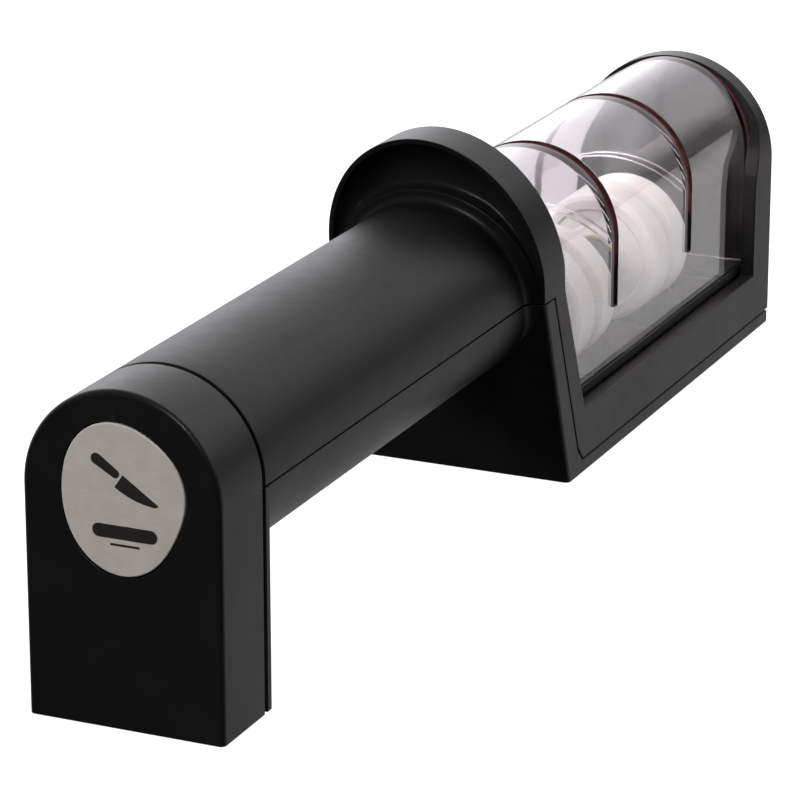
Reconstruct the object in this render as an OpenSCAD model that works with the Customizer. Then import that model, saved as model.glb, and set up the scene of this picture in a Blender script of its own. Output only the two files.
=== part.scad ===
// Bench-top two-stage pull-through knife sharpener with ceramic wheels.
// Y runs along the handle, from the foot (-Y) to the sharpening head (+Y). Z is up and z = 0 is the table.

/* [Overall] */
// Length from the foot's front face to the head's rear face
total_l = 250; // [246:1:256]
// Height of the hood above the table
hood_top = 69.6; // [68:0.2:71]
// Gap between the shells and the table, filled by the rubber pads
pad_gap = 0.2; // [0.2:0.1:0.8]
// Wall thickness of the moulded shells
wall = 2.2; // [1.8:0.1:2.4]
// Width of the seam between the two shells
seam = 0.3; // [0.1:0.1:0.4]

/* [Handle and foot] */
// Radius of the round handle
handle_r = 17.5; // [16.5:0.5:18]
// Height of the handle's axis above the table
handle_z = 39.5; // [39:0.5:40.5]
// Height of the seam along the handle
split_z = 38.8; // [38.4:0.2:39]
// Depth of the foot cap
cap_l = 14.9; // [13:0.1:16]
// Shadow gap between the foot cap and the leg plate
cap_gap = 0.8; // [0.5:0.1:1]
// Thickness of the leg plate at the end of the handle
leg_t = 1.6; // [1.4:0.1:2]
// Radius of the rounding on the foot cap's front edge
cap_edge_r = 1; // [0.5:0.5:2]

/* [Head] */
// Width of the head
head_w = 41.7; // [41.5:0.1:42.5]
// Width of the hood at its widest
hood_w = 42.6; // [42.5:0.1:43]
// Distance of the head's front edge behind the middle of the tool
head_front_y = 12.5; // [12:0.5:13]
// Forward lean of the front wall, in millimetres per millimetre of height
front_lean = 0.337; // [0.33:0.001:0.345]
// Forward lean of the hood's front, above the seam
hood_lean = 0.306; // [0.29:0.001:0.32]
// Forward lean of the wall behind the hood, below the seam
back_lean = 0.411; // [0.40:0.001:0.42]
// Forward lean of the hood's back, above the seam
hood_back_lean = 0.3; // [0.28:0.01:0.32]
// Width of the lower shell's strip along the front wall
front_strip = 5; // [4.5:0.1:5]
// Height of the lower shell's skirt
skirt_h = 3; // [2.8:0.1:3.2]
// Height of the window's sill
sill_z = 12.5; // [12:0.5:13]
// Thickness of the rear wall, front to back
rear_l = 4.7; // [4.5:0.1:5]
// Reach of the cheeks that run forward from the rear wall beside the cover
cheek_l = 5.3; // [5:0.1:6]
// Height of the centre of the rear wall's round top
rear_arch_z = 35.6; // [35:0.2:36.2]
// Depth of the finger dish in the hood
dish_d = 4; // [3:0.5:4]

/* [Cover] */
// Half the width of the clear cover
cover_r = 17.6; // [17.4:0.1:17.7]
// Height of the centre of the cover's round top
cover_arch_z = 38.7; // [38.2:0.1:39]
// Wall of the clear cover
cover_t = 2; // [1.6:0.1:2]
// Height of the cover's lower edge, where it sits on the seal
cover_foot_z = 14.5; // [14:0.5:15]
// Width of the knife slots
slot_w = 2; // [1.6:0.2:2.4]
// Height of the lower ends of the slots
slot_foot_z = 25.8; // [24:0.2:27]

/* [Wheels] */
// Distance of the coarse slot behind the middle of the tool
coarse_y = 43.6; // [43:0.2:44]
// Distance of the fine slot behind the middle of the tool
fine_y = 84.3; // [84:0.1:85]
// Radius of the ceramic wheels
wheel_r = 13; // [12:0.5:13]
// Half the length of a pair of wheels
pair_half_l = 9.2; // [9:0.1:9.4]
// Height of the wheels' axle
axle_z = 24.5; // [24:0.5:25]
// Radius of the axle
axle_r = 2.5; // [2.2:0.1:2.7]
// Angle of the wheels' cones to the knife's blade
cone_angle = 20; // [15:1:22]
// Depth of the cones below the wheels' rims
cone_d = 4.8; // [4:0.2:5]

/* [Hidden] */
$fn = 96;

y_foot = -total_l / 2;
y_rear = total_l / 2;
y_leg = y_foot + cap_l + cap_gap;
y_split = head_front_y - front_lean * split_z;
y_back_split = 9.5;               // rear face of the hood's wall at the seam
y_rear_in = y_rear - rear_l;
cheek_y = y_rear_in - cheek_l;
cheek_arc_z = 28;                 // where the cheeks' front edges start to curve back
cheek_arc_r = 26;
rear_skin = 1.6;                  // skin on each side of the rear wall's hollow
half_w = head_w / 2;
hood_arch_z = 43.9;               // centre of the hood's round top
hood_rim = 1.4;                   // thickness of the hood's rim
ring_w = 2.8;                     // collar left round the handle, inside the dish
fit = 0.3;                        // clearance between moulded parts
rail_in = cover_r + fit;          // inner face of the side rails
strip_foot = [17, 5.8];           // where the seam turns from the strip to the skirt
skirt_y = 19.6;
skirt_step = 0.5;                 // the skirt's set-back at the rear
floor_z = skirt_h - seam;         // top of the lower shell's floor
hollow_end = y_split - 6;         // inner end of the handle's bore

tongue_half_w = 10.3;             // the leg's tongue, inside the foot cap
tongue_l = 11;
cap_boss_r = 2.8;
cap_screws = [[-13.6, 10], [13.6, 10]];

tub_t = 1.6;
tub_half_w = 15.2;
tub_y = [25, 108];
tub_top = 13.6;
flange_z = 8.4;                   // the cassette's flange, under the seal and out to the rear wall
flange_t = 1.1;
cover_end_y = y_rear_in - fit;
cover_gap = 0.4;                  // between the cover and the wall behind the hood
end_t = 1.8;                      // the cover's end walls
rib_t = 1.6;                      // the ribs on each side of a slot
rib_arc_z = 17.3;                 // centre of the ribs' arched lower edges
rib_arc_r = 26.1;

post_t = 3;
post_half_w = 6;
post_ys = [27.5, (coarse_y + fine_y) / 2, 100.5];
axle_y = [24, 104];
bush_r = 4;
bush_fit = 0.05;                  // running clearance between bush and axle
bush_proud = 0.3;                 // how far a bush stands out of its wheel
bush_gap = 0.15;                  // half the gap between the bushes of a pair
wheel_gap = 0.4;                  // half the gap between the wheels of a pair
rim_chamfer = 1;
washer_r = 4.8;
washer_t = 0.8;
spacer_r = 3.6;
clip_r = 4.4;
clip_t = 0.6;

screw_r = 1.5;
screw_head_r = 2.8;
screw_head_t = 1.8;
boss_r = 2.9;
boss_top = 8;
shell_screws_xy = [[-13, 17.5], [13, 17.5], [-13, 116], [13, 116]];
shell_screw_l = 6;
handle_screw_y = -92;
handle_screw_l = 24;
tub_screws_xy = [[-8, 34], [8, 34], [-8, 94], [8, 94]];

pad_t = 1.4;
pad_half_w = 14;
head_pads = [[30, 40], [102, 112]];
foot_pad_y = [-121, -114];

badge_r = 11.7;
badge_z = 39.15;
badge_t = 0.9;
adhesive_t = 0.3;
badge_fit = 0.15;

black = [0.09, 0.09, 0.1];
steel = [0.75, 0.73, 0.7];
ceramic = [0.93, 0.91, 0.87];

function front_y(z) = z <= split_z ? head_front_y - front_lean * z
                                   : y_split - hood_lean * (z - split_z);
function back_y(z) = y_back_split - (z <= split_z ? back_lean : hood_back_lean) * (z - split_z);

// Turns an outline drawn in (x, z) into a solid from y0 to y1.
module along_y(y0, y1) {
    translate([0, y1, 0]) rotate([90, 0, 0]) linear_extrude(y1 - y0) children();
}

// Turns an outline drawn in (y, z) into a solid of the given half width.
module across_x(half) {
    translate([-half, 0, 0]) rotate([90, 0, 90]) linear_extrude(2 * half) children();
}

// A box given by its lowest and highest corners.
module block(low, high) {
    translate(low) cube(high - low);
}

// Round-topped outline shared by the foot, the cover and the rear wall.
module tombstone(r, arch_z, low_z) {
    translate([0, arch_z]) circle(r);
    translate([-r, low_z]) square([2 * r, arch_z - low_z]);
}

// Outline of the hood: straight sides below the seam and a tall round top above it.
module hood_outline(inset) {
    side = half_w - inset;
    wide = hood_w / 2 - inset;
    high = hood_top - hood_arch_z - inset;
    polygon(concat([[side, -1], [side, split_z]],
        [for (a = [0:4:180]) [wide * cos(a), hood_arch_z + high * sin(a)]],
        [[-side, split_z], [-side, -1]]));
}

// The round handle, cut off by the leaning front wall.
module handle_rod() {
    intersection() {
        along_y(y_leg, head_front_y + 5) translate([0, handle_z]) circle(handle_r);
        across_x(30) polygon([[y_leg, 0], [front_y(0) + wall, 0],
            [front_y(split_z) + wall, split_z], [front_y(80) + wall, 80], [y_leg, 80]]);
    }
}

module handle_bore() {
    along_y(y_leg + leg_t + 0.6, hollow_end) translate([0, handle_z]) circle(handle_r - wall);
}

// A screw with a cross recess in its head, standing on the given point with its head at the bottom.
module screw(length) {
    translate([0, 0, screw_head_t]) cylinder(r = screw_r, h = length);
    difference() {
        cylinder(r = screw_head_r, h = screw_head_t);
        block([-2, -0.4, -1], [2, 0.4, 0.8]);
        block([-0.4, -2, -1], [0.4, 2, 0.8]);
    }
}

// Cheeks beside the cover's rear end, with front edges that curve back into the rear wall.
module cheeks() intersection() {
    difference() {
        along_y(cheek_y, y_rear_in + 1) tombstone(half_w, rear_arch_z, skirt_h);
        block([-rail_in, 0, 0], [rail_in, 130, 80]);
    }
    across_x(30) polygon(concat([[130, 0], [cheek_y, 0]],
        [for (a = [0:3:45]) [cheek_y + cheek_arc_r * (1 - cos(a)), cheek_arc_z + cheek_arc_r * sin(a)]],
        [[130, 50]]));
}

// Upper shell: the handle's top half, the hood, the side rails and the rear wall in one moulding.
module upper_shell() color(black) difference() {
    union() {
        hollow_upper_shell();
        // screw bosses, each with a web to the wall behind it
        intersection() {
            for (s = shell_screws_xy) {
                translate([s[0], s[1], skirt_h]) cylinder(r = boss_r, h = boss_top - skirt_h);
                block([s[0] - 1, s[1], skirt_h], [s[0] + 1, s[1] + 5, boss_top]);
            }
            union() {
                across_x(30) polygon([[0, 0], [back_y(0) - 0.5, 0], [back_y(30) - 0.5, 30], [0, 30]]);
                block([-30, 100, 0], [30, y_rear_in + 0.5, 30]);
            }
        }
        intersection() {
            translate([0, handle_screw_y, split_z + 1]) cylinder(r = boss_r, h = 30);
            along_y(y_leg, 0) translate([0, handle_z]) circle(handle_r - 0.5);
        }
    }
    for (s = shell_screws_xy) translate([s[0], s[1], skirt_h - 1]) cylinder(r = screw_r, h = shell_screw_l);
    translate([0, handle_screw_y, split_z]) cylinder(r = screw_r, h = 10);
}

module hollow_upper_shell() {
    difference() {
        union() {
            intersection() {
                union() {
                    handle_rod();
                    along_y(y_leg, y_leg + leg_t) tombstone(handle_r, handle_z, 0);
                }
                block([-25, -130, split_z], [25, 20, 80]);
            }
            // hood and the flange below it
            intersection() {
                along_y(-20, 30) hood_outline(0);
                across_x(30) polygon([
                    [front_y(split_z), split_z], [front_y(80), 80], [back_y(80), 80],
                    [back_y(split_z), split_z], [back_y(skirt_h), skirt_h], [skirt_y, skirt_h],
                    strip_foot, [y_split + front_strip, split_z]]);
            }
            // side rails
            for (side = [-1, 1])
                translate([side * (rail_in + half_w) / 2, 0, 0])
                    across_x((half_w - rail_in) / 2) polygon([
                        [skirt_y, skirt_h], [back_y(sill_z) - 1, sill_z],
                        [y_rear - 1, sill_z], [y_rear - 1, skirt_h]]);
            along_y(y_rear_in, y_rear) tombstone(half_w, rear_arch_z, skirt_h);
            cheeks();
        }
        handle_bore();
        // finger dish in front of the hood
        difference() {
            intersection() {
                along_y(-20, 30) hood_outline(hood_rim);
                across_x(30) polygon([
                    [front_y(split_z + 2) - 0.1, split_z + 2], [front_y(80) - 3, 80],
                    [front_y(80) + dish_d, 80], [front_y(split_z + 14) + dish_d, split_z + 14]]);
            }
            along_y(-30, 30) translate([0, handle_z]) circle(handle_r + ring_w);
        }
        // space behind the lower shell's front wall
        across_x(half_w - wall) polygon([
            [y_split + 2.6, split_z - 1], [y_split + 2.6, split_z + 5], [back_y(split_z + 5) - wall, split_z + 5],
            [back_y(0) - wall, 0], [skirt_y - 7, 0]]);
        along_y(y_rear_in + rear_skin, y_rear - rear_skin) tombstone(half_w - wall, rear_arch_z, 0);
    }
}

// Lower shell: the leg, the handle's bottom half, the leaning front wall and the floor of the head.
module lower_shell() color(black) difference() {
    union() {
        intersection() {
            union() {
                handle_rod();
                along_y(y_leg, y_leg + leg_t) tombstone(handle_r, handle_z, pad_gap);
            }
            block([-25, -130, pad_gap], [25, 20, split_z - seam]);
        }
        // tongue that the foot cap slides on
        difference() {
            block([-tongue_half_w, y_leg - tongue_l, 6], [tongue_half_w, y_leg + 0.5, 36]);
            block([wall - tongue_half_w, y_leg - tongue_l - 1, 6 + wall],
                  [tongue_half_w - wall, y_leg + leg_t - 0.9, 36 - wall]);
        }
        across_x(half_w) polygon([
            [front_y(pad_gap), pad_gap], [y_split, split_z - seam],
            [y_split + front_strip - seam, split_z - seam], [strip_foot[0] - seam, strip_foot[1] - seam],
            [skirt_y - seam, floor_z], [y_rear - skirt_step, floor_z], [y_rear - skirt_step, pad_gap]]);
    }
    difference() {
        handle_bore();
        // boss for the screw under the handle
        translate([0, handle_screw_y, 20]) cylinder(r = boss_r + 1, h = split_z - seam - 20);
    }
    // the head is open behind its front wall
    across_x(half_w - wall) polygon([
        [front_y(floor_z) + wall + 0.2, floor_z], [front_y(split_z) + wall + 0.2, split_z],
        [60, split_z], [60, floor_z]]);
    for (s = shell_screws_xy) translate([s[0], s[1], 0]) {
        cylinder(r = screw_r + 0.2, h = 6);
        cylinder(r = screw_head_r + 0.2, h = pad_gap + screw_head_t);
    }
    for (s = tub_screws_xy) translate([s[0], s[1], 1.4]) cylinder(r = screw_r, h = 3);
    for (s = cap_screws) translate([s[0], y_leg + 5, s[1]]) rotate([90, 0, 0]) cylinder(r = screw_r + 0.2, h = 10);
    translate([0, handle_screw_y, 15]) {
        cylinder(r = screw_head_r + 0.3, h = 8.9);
        cylinder(r = screw_r + 0.2, h = 30);
    }
    for (p = head_pads) block([-pad_half_w, p[0], -1], [pad_half_w, p[1], pad_t]);
}

// Outline of the badge in (x, z): an egg with a blunt point on its right.
module badge_outline(inset) {
    polygon([for (t = [0:5:355])
        let (r = badge_r - inset - 0.88 * cos(2 * t) + 0.35 * cos(3 * t - 45) + 0.16 * cos(4 * t - 65))
        [0.1 + r * cos(t), badge_z + r * sin(t)]]);
}

// Depth profile of the foot cap: a block of the given half width with one rounded edge.
module rounded_edge(half) {
    difference() {
        square([half, cap_l]);
        difference() {
            translate([half - cap_edge_r, cap_l - cap_edge_r]) square(cap_edge_r + 1);
            translate([half - cap_edge_r, cap_l - cap_edge_r]) circle(cap_edge_r);
        }
    }
}

// Foot cap: the round-topped block that closes the end of the handle and carries the badge.
module foot_cap() color(black) difference() {
    translate([0, y_foot + cap_l, 0]) {
        intersection() {
            translate([0, 0, handle_z]) rotate([90, 0, 0]) rotate_extrude() rounded_edge(handle_r);
            block([-20, -20, handle_z], [20, 1, 60]);
        }
        translate([0, 0, pad_gap]) linear_extrude(handle_z - pad_gap) {
            rotate(180) rounded_edge(handle_r);
            mirror([1, 0]) rotate(180) rounded_edge(handle_r);
        }
    }
    difference() {
        along_y(y_foot + 3, y_foot + cap_l + 1) tombstone(handle_r - wall, handle_z, pad_gap + wall + 0.8);
        for (s = cap_screws) translate([s[0], y_foot + cap_l - 1, s[1]]) rotate([90, 0, 0])
            cylinder(r = cap_boss_r, h = cap_l - 2);
    }
    for (s = cap_screws) translate([s[0], y_foot + cap_l + 1, s[1]]) rotate([90, 0, 0])
        cylinder(r = screw_r, h = 9);
    along_y(y_foot - 1, y_foot + badge_t + adhesive_t) badge_outline(-badge_fit);
    block([-pad_half_w + 2, foot_pad_y[0], -1], [pad_half_w - 2, foot_pad_y[1], pad_t]);
}

module badge() color(steel)
    along_y(y_foot, y_foot + badge_t) badge_outline(0);

module badge_adhesive() color([0.2, 0.2, 0.2])
    along_y(y_foot + badge_t, y_foot + badge_t + adhesive_t) badge_outline(1);

// The cover's outer shape, or the space under its skin when it is inset by the skin's thickness.
module cover_shape(inset, end_inset, low_z) {
    intersection() {
        along_y(-10, cover_end_y - end_inset) tombstone(cover_r - inset, cover_arch_z, low_z);
        across_x(30) polygon([
            [back_y(0) + cover_gap + end_inset, 0], [back_y(split_z) + cover_gap + end_inset, split_z],
            [back_y(80) + cover_gap + end_inset, 80], [150, 80], [150, 0]]);
    }
}

// Clear cover: one moulding with two knife slots, each between two arched ribs.
module clear_cover() color([0.8, 0.8, 0.85, 0.4]) difference() {
    union() {
        difference() {
            cover_shape(0, 0, cover_foot_z);
            cover_shape(cover_t, end_t, cover_foot_z - 1);
        }
        for (y = [coarse_y, fine_y]) difference() {
            along_y(y - slot_w / 2 - rib_t, y + slot_w / 2 + rib_t)
                tombstone(cover_r - cover_t / 2, cover_arch_z, cover_arch_z - 1);
            along_y(y - 10, y + 10) translate([0, rib_arc_z]) circle(rib_arc_r);
        }
    }
    for (y = [coarse_y, fine_y])
        block([-30, y - slot_w / 2, slot_foot_z], [30, y + slot_w / 2, 70]);
}

// Rubber seal round the cassette, which the cover sits on.
module cover_seal() color([0.04, 0.04, 0.04]) difference() {
    intersection() {
        across_x(cover_r) polygon([
            [back_y(flange_z) + cover_gap, flange_z + flange_t], [back_y(cover_foot_z) + cover_gap, cover_foot_z],
            [cover_end_y, cover_foot_z], [cover_end_y, flange_z + flange_t]]);
        block([-30, 0, flange_z + flange_t], [30, 130, cover_foot_z]);
    }
    block([-tub_half_w - 0.05, tub_y[0] - 0.05, 0], [tub_half_w + 0.05, tub_y[1] + 0.05, 30]);
}

// Wheel cassette: a tub that catches the grindings, with three posts that hold the axle.
module wheel_cassette() color([0.12, 0.12, 0.13]) difference() {
    union() {
        difference() {
            union() {
                block([-tub_half_w, tub_y[0], floor_z], [tub_half_w, tub_y[1], tub_top]);
                block([fit - cover_r, tub_y[0] - 1, flange_z], [cover_r - fit, cover_end_y - fit, flange_z + flange_t]);
            }
            block([tub_t - tub_half_w, tub_y[0] + tub_t, floor_z + tub_t],
                  [tub_half_w - tub_t, tub_y[1] - tub_t, 30]);
        }
        for (y = post_ys) along_y(y - post_t / 2, y + post_t / 2) {
            translate([0, axle_z]) circle(post_half_w);
            translate([-post_half_w, floor_z + 0.5]) square([2 * post_half_w, axle_z - floor_z - 0.5]);
        }
    }
    along_y(0, 130) translate([0, axle_z]) circle(axle_r);
    for (s = tub_screws_xy) translate([s[0], s[1], 0]) cylinder(r = screw_r + 0.1, h = 10);
}

module wheel_axle() color(steel)
    along_y(axle_y[0], axle_y[1]) translate([0, axle_z]) circle(axle_r);

// Puts a shape drawn as (radius, distance from the slot) on the axle; side is -1 or 1.
module on_axle(y, side) {
    translate([0, y, axle_z]) rotate([side > 0 ? -90 : 90, 0, 0]) rotate_extrude() children();
}

// Ceramic wheel: a steep cone faces the slot, and a shallow ring is sunk in the outer face.
module wheel(y, side) color(ceramic) on_axle(y, side) polygon([
    [bush_r, wheel_gap], [wheel_r - cone_d, wheel_gap],
    [wheel_r, wheel_gap + cone_d * tan(cone_angle)],
    [wheel_r, pair_half_l - rim_chamfer], [wheel_r - rim_chamfer, pair_half_l],
    [wheel_r - 3, pair_half_l], [wheel_r - 3.4, pair_half_l - 0.8],
    [bush_r + 2.4, pair_half_l - 0.8], [bush_r + 2, pair_half_l], [bush_r, pair_half_l]]);

// Brass bush pressed into a wheel.
module bush(y, side) color([0.7, 0.55, 0.3]) on_axle(y, side) polygon([
    [axle_r + bush_fit, bush_gap], [bush_r, bush_gap],
    [bush_r, pair_half_l + bush_proud], [axle_r + bush_fit, pair_half_l + bush_proud]]);

module coarse_wheel_front() wheel(coarse_y, -1);
module coarse_wheel_rear() wheel(coarse_y, 1);
module fine_wheel_front() wheel(fine_y, -1);
module fine_wheel_rear() wheel(fine_y, 1);
module coarse_bush_front() bush(coarse_y, -1);
module coarse_bush_rear() bush(coarse_y, 1);
module fine_bush_front() bush(fine_y, -1);
module fine_bush_rear() bush(fine_y, 1);

module ring(y0, y1, r) {
    along_y(y0, y1) translate([0, axle_z]) difference() {
        circle(r);
        circle(axle_r + bush_fit);
    }
}

// Thrust washers against the posts.
module axle_washers() color(steel) {
    ring(post_ys[0] + post_t / 2, post_ys[0] + post_t / 2 + washer_t, washer_r);
    ring(post_ys[1] - post_t / 2 - washer_t, post_ys[1] - post_t / 2, washer_r);
    ring(post_ys[1] + post_t / 2, post_ys[1] + post_t / 2 + washer_t, washer_r);
    ring(post_ys[2] - post_t / 2 - washer_t, post_ys[2] - post_t / 2, washer_r);
}

// Spacer tubes that keep each pair of wheels under its slot.
module axle_spacers() color([0.25, 0.25, 0.27]) {
    reach = pair_half_l + bush_proud + 0.3;
    ring(post_ys[0] + post_t / 2 + washer_t, coarse_y - reach, spacer_r);
    ring(coarse_y + reach, post_ys[1] - post_t / 2 - washer_t, spacer_r);
    ring(post_ys[1] + post_t / 2 + washer_t, fine_y - reach, spacer_r);
    ring(fine_y + reach, post_ys[2] - post_t / 2 - washer_t, spacer_r);
}

// Spring clips that hold the axle's ends.
module axle_clips() color(steel) {
    ring(post_ys[0] - post_t / 2 - clip_t, post_ys[0] - post_t / 2, clip_r);
    ring(post_ys[2] + post_t / 2, post_ys[2] + post_t / 2 + clip_t, clip_r);
}

module cassette_screws() color(steel)
    for (s = tub_screws_xy) translate([s[0], s[1], floor_z + tub_t + screw_head_t]) mirror([0, 0, 1]) screw(2.9);

// Screws that join the shells: four in the head, one under the handle.
module shell_screws() color(steel) {
    for (s = shell_screws_xy) translate([s[0], s[1], pad_gap]) screw(shell_screw_l - 0.6);
    translate([0, handle_screw_y, 22.1]) screw(handle_screw_l);
}

module foot_cap_screws() color(steel)
    for (s = cap_screws) translate([s[0], y_leg + leg_t + screw_head_t, s[1]]) rotate([90, 0, 0]) screw(9);

module pad(y, half) color([0.05, 0.05, 0.05])
    block([fit / 2 - half, y[0] + fit / 2, 0], [half - fit / 2, y[1] - fit / 2, pad_t]);

module head_pad_front() pad(head_pads[0], pad_half_w);
module head_pad_rear() pad(head_pads[1], pad_half_w);
module foot_pad() pad(foot_pad_y, pad_half_w - 2);

upper_shell();
lower_shell();
foot_cap();
badge();
badge_adhesive();
clear_cover();
cover_seal();
wheel_cassette();
wheel_axle();
coarse_wheel_front();
coarse_wheel_rear();
fine_wheel_front();
fine_wheel_rear();
coarse_bush_front();
coarse_bush_rear();
fine_bush_front();
fine_bush_rear();
axle_washers();
axle_spacers();
axle_clips();
cassette_screws();
shell_screws();
foot_cap_screws();
head_pad_front();
head_pad_rear();
foot_pad();
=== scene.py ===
import math

import bmesh
import bpy
from mathutils import Matrix, Vector


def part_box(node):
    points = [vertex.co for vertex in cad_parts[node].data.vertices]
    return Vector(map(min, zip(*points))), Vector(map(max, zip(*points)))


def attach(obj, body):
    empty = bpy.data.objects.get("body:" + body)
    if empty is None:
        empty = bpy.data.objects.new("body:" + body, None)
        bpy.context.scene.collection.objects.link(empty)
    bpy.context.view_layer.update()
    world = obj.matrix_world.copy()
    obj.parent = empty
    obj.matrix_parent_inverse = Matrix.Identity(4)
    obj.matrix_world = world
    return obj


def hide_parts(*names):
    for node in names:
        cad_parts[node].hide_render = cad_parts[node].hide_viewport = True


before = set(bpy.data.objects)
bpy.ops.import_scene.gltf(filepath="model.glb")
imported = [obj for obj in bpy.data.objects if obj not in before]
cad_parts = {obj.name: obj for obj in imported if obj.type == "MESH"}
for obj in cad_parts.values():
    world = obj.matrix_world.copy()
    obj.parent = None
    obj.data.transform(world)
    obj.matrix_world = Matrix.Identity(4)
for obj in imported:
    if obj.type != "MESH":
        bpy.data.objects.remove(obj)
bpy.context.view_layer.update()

# ---------------------------------------------------------------------------------------------
# Studio. The tool stands on a wide pale floor, seen from above its right front corner through a
# long lens. Broad soft lights stand overhead and in front, a small one picks out the edges, and the
# surroundings are bright behind. Only the small lamp shows in reflections.
# ---------------------------------------------------------------------------------------------
MM = 0.001

view_from = Vector((280.17, -644.89, 251.31)) * MM
view_to = Vector((-8.13, 0.0, 16.51)) * MM
camera_data = bpy.data.cameras.new("camera")
camera_data.lens = 180.6
camera_data.sensor_width = 36.0
camera_data.clip_start = 0.01
camera = bpy.data.objects.new("camera", camera_data)
camera.location = view_from
camera.rotation_euler = (view_to - view_from).to_track_quat("-Z", "Y").to_euler()
bpy.context.scene.collection.objects.link(camera)
bpy.context.scene.camera = camera
bpy.context.scene.view_settings.view_transform = "Standard"


def soft_light(name, place, aim, width, depth, power):
    """A rectangular softbox at place, turned to face aim (metres), with its power in watts."""
    light = bpy.data.lights.new(name, "AREA")
    light.shape = "RECTANGLE"
    light.size, light.size_y = width, depth
    light.energy = power
    lamp = bpy.data.objects.new(name, light)
    lamp.location = place
    lamp.rotation_euler = (Vector(aim) - Vector(place)).to_track_quat("-Z", "Y").to_euler()
    lamp.visible_glossy = False
    bpy.context.scene.collection.objects.link(lamp)
    return lamp


soft_light("overhead_softbox", (-0.5, 0.3, 1.15), (0, 0.05, 0.04), 0.8, 0.9, 13)
soft_light("front_softbox", (-0.75, -1.3, 0.75), (0, -0.1, 0.04), 0.8, 0.6, 18)
edge_light = soft_light("edge_softbox", (0.42, -0.95, 0.92), (0, 0, 0.05), 0.2, 0.2, 3.0)
edge_light.visible_glossy = True

world = bpy.data.worlds.new("studio")
bpy.context.scene.world = world
world.use_nodes = True
air = world.node_tree
air.nodes.clear()
place = air.nodes.new("ShaderNodeTexCoord")
split = air.nodes.new("ShaderNodeSeparateXYZ")
upwards = air.nodes.new("ShaderNodeMapRange")
upwards.inputs["From Min"].default_value = -1.0
left_stops = [(0.0, 0.2), (0.44, 0.3), (0.5, 0.8), (0.6, 0.85), (0.74, 0.5), (1.0, 0.15)]
right_stops = [(0.0, 0.2), (0.45, 0.21), (0.49, 0.06), (0.56, 0.08), (0.65, 0.42), (0.8, 0.4), (1.0, 0.15)]
ramps = []
for stops in (left_stops, right_stops):
    by_height = air.nodes.new("ShaderNodeValToRGB")
    for index, (height, grey) in enumerate(stops[:-1]):
        stop = by_height.color_ramp.elements[0] if index == 0 else by_height.color_ramp.elements.new(height)
        stop.position = height
        stop.color = (grey, grey * 0.98, grey * 1.01, 1)
    last = stops[-1][1]
    by_height.color_ramp.elements[-1].color = (last, last * 0.98, last * 1.01, 1)
    air.links.new(upwards.outputs["Result"], by_height.inputs["Fac"])
    ramps.append(by_height)
to_left = air.nodes.new("ShaderNodeMapRange")
to_left.interpolation_type = "SMOOTHSTEP"
to_left.inputs["From Min"].default_value = 0.05
to_left.inputs["From Max"].default_value = -0.4
sides = air.nodes.new("ShaderNodeMix")
sides.data_type = "RGBA"
air.links.new(to_left.outputs["Result"], sides.inputs["Factor"])
air.links.new(ramps[0].outputs["Color"], sides.inputs["B"])
air.links.new(ramps[1].outputs["Color"], sides.inputs["A"])
behind = air.nodes.new("ShaderNodeMapRange")
behind.interpolation_type = "SMOOTHSTEP"
behind.inputs["From Min"].default_value = -0.35
behind.inputs["From Max"].default_value = 0.55
behind.inputs["To Min"].default_value = 0.03
both = air.nodes.new("ShaderNodeMix")
both.data_type = "RGBA"
both.blend_type = "MULTIPLY"
both.inputs["Factor"].default_value = 1.0
sky = air.nodes.new("ShaderNodeBackground")
sky.inputs["Strength"].default_value = 2.0
sky_out = air.nodes.new("ShaderNodeOutputWorld")
air.links.new(place.outputs["Generated"], split.inputs[0])
air.links.new(split.outputs["Z"], upwards.inputs["Value"])
air.links.new(split.outputs["Y"], behind.inputs["Value"])
air.links.new(split.outputs["X"], to_left.inputs["Value"])
air.links.new(sides.outputs["Result"], both.inputs["A"])
air.links.new(behind.outputs["Result"], both.inputs["B"])
air.links.new(both.outputs["Result"], sky.inputs["Color"])
air.links.new(sky.outputs[0], sky_out.inputs["Surface"])

floor_mesh = bpy.data.meshes.new("floor")
reach = 4.0
floor_mesh.from_pydata([(-reach, -reach, 0), (reach, -reach, 0), (reach, reach, 0), (-reach, reach, 0)],
                       [], [(0, 1, 2, 3)])
floor = bpy.data.objects.new("floor", floor_mesh)
bpy.context.scene.collection.objects.link(floor)
floor.visible_glossy = False
floor.visible_diffuse = False
floor_paper = bpy.data.materials.new("floor_paper")
floor_paper.use_nodes = True
paper = floor_paper.node_tree.nodes["Principled BSDF"]
paper.inputs["Base Color"].default_value = (0.3, 0.3, 0.3, 1)
paper.inputs["Roughness"].default_value = 0.9
paper.inputs["Emission Color"].default_value = (1, 1, 1, 1)
paper.inputs["Emission Strength"].default_value = 0.97
floor_mesh.materials.append(floor_paper)

# ---------------------------------------------------------------------------------------------
# Upper shell. One injection moulding in black ABS: the handle's top half with a fine spark-eroded
# grain, the hood that guards the fingers, the rails beside the window and the round rear wall.
# ---------------------------------------------------------------------------------------------
upper_low, upper_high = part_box("upper_shell")
lower_low, lower_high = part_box("lower_shell")
cap_low, cap_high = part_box("foot_cap")
cover_low, cover_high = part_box("clear_cover")

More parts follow.
